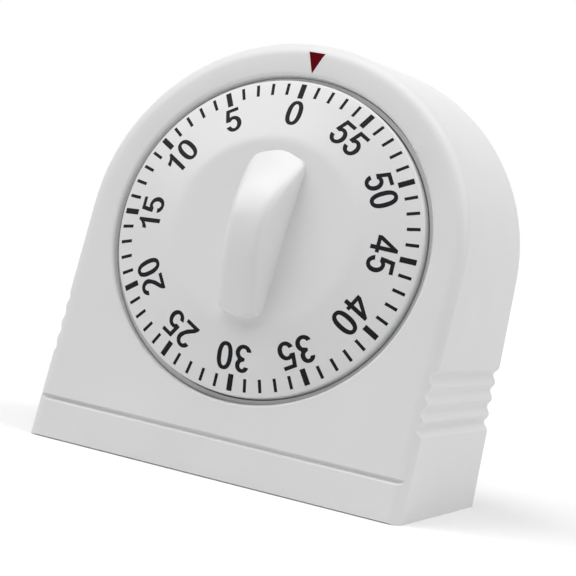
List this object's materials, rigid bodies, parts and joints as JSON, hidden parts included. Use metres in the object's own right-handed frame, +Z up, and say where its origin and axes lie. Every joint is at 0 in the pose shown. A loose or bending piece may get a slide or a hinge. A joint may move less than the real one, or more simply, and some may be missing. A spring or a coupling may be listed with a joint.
{
  "type": "wind-up kitchen timer",
  "caption": "Wind-up kitchen timer with an arched case that leans back, a large coned dial with a grip bar, and a working train, balance, bell and hammer inside.",
  "frame": {"origin": "centre of the case's flat underside, where it rests on the table", "axes": "+Z up, -Y out of the front (the dial faces -Y and leans back), +X to the right as seen from the front"},
  "size_m": [0.0936, 0.0621, 0.1019],
  "materials": {
    "case_white": "white moulded ABS, satin",
    "dial_white": "white moulded ABS, satin",
    "pointer_red": "dark red moulded insert",
    "plated_steel": "zinc-plated screws, nuts and studs",
    "plate_steel": "brushed sheet",
    "arbor_steel": "turned and polished",
    "wheel_brass": "stamped brass",
    "spring_steel": "blued strip",
    "bell_nickel": "nickel-plated bell"
  },
  "bodies": {
    "case": {"front_housing": "case_white", "pointer_mark": "pointer_red", "rear_cover": "case_white", "case_screws": "plated_steel", "movement_screws": "plated_steel", "front_plate": "plate_steel", "rear_plate": "plate_steel", "plate_pillars": "wheel_brass", "pillar_nuts": "plated_steel", "trip_stud": "plated_steel", "bell_post": "plated_steel", "bell": "bell_nickel", "bell_screw": "plated_steel"},
    "dial": {"dial_knob": "dial_white", "dial_arbor": "arbor_steel", "mainspring": "spring_steel", "ratchet_wheel": "arbor_steel", "click": "plate_steel", "click_spring": "spring_steel", "main_wheel": "wheel_brass", "stop_cam": "plate_steel"},
    "barrel": {"spring_barrel": "wheel_brass"},
    "second": {"second_arbor": "arbor_steel", "second_wheel": "wheel_brass"},
    "third": {"third_arbor": "arbor_steel", "third_wheel": "wheel_brass"},
    "escape": {"escape_arbor": "arbor_steel", "escape_wheel": "wheel_brass"},
    "balance": {"balance_arbor": "arbor_steel", "pallet_anchor": "plate_steel", "balance_wheel": "wheel_brass"},
    "star": {"star_arbor": "arbor_steel", "star_wheel": "wheel_brass"},
    "hammer": {"hammer_arbor": "arbor_steel", "hammer_fork": "plate_steel", "bell_hammer": "plate_steel"},
    "lever": {"trip_lever": "plate_steel"}
  },
  "joints": [
    {"name": "dial_turn", "type": "hinge", "parent": "case", "child": "dial", "pos_m": [0, 0.00142, 0.05222], "axis": [0, 0.9829, -0.184], "range_deg": [0, 352], "deforming": ["mainspring"]},
    {"name": "second_turn", "type": "hinge", "parent": "case", "child": "second", "pos_m": [-0.01917, 0.00014, 0.04536], "axis": [0, 0.9829, -0.184], "range_deg": [-2640, 0]},
    {"name": "third_turn", "type": "hinge", "parent": "case", "child": "third", "pos_m": [-0.02042, 0.00278, 0.05946], "axis": [0, 0.9829, -0.184], "range_deg": [0, 18480]},
    {"name": "escape_turn", "type": "hinge", "parent": "case", "child": "escape", "pos_m": [-0.01323, 0.00435, 0.0679], "axis": [0, 0.9829, -0.184], "range_deg": [-110880, 0]},
    {"name": "anchor_rock", "type": "hinge", "parent": "case", "child": "balance", "pos_m": [-0.00569, 0.005, 0.07135], "axis": [0, 0.9829, -0.184], "range_deg": [-7, 7]},
    {"name": "barrel_turn", "type": "hinge", "parent": "case", "child": "barrel", "pos_m": [0, 0.00142, 0.05222], "axis": [0, 0.9829, -0.184], "range_deg": [0, 180]},
    {"name": "star_turn", "type": "hinge", "parent": "case", "child": "star", "pos_m": [0.01903, -0.00021, 0.0435], "axis": [0, 0.9829, -0.184], "range_deg": [-1080, 0]},
    {"name": "hammer_swing", "type": "hinge", "parent": "case", "child": "hammer", "pos_m": [0.01989, 0.0016, 0.05319], "axis": [0, -0.9829, 0.184], "range_deg": [-3, 3]},
    {"name": "trip_lever_drop", "type": "hinge", "parent": "case", "child": "lever", "pos_m": [0.00485, 0.0037, 0.06442], "axis": [0, -0.9829, 0.184], "range_deg": [-8, 0]}
  ],
  "couplings": [
    {"joint": "second_turn", "follows": "dial_turn", "ratio": -7.5},
    {"joint": "third_turn", "follows": "dial_turn", "ratio": 52.5},
    {"joint": "escape_turn", "follows": "dial_turn", "ratio": -315},
    {"joint": "star_turn", "follows": "barrel_turn", "ratio": -6}
  ]
}
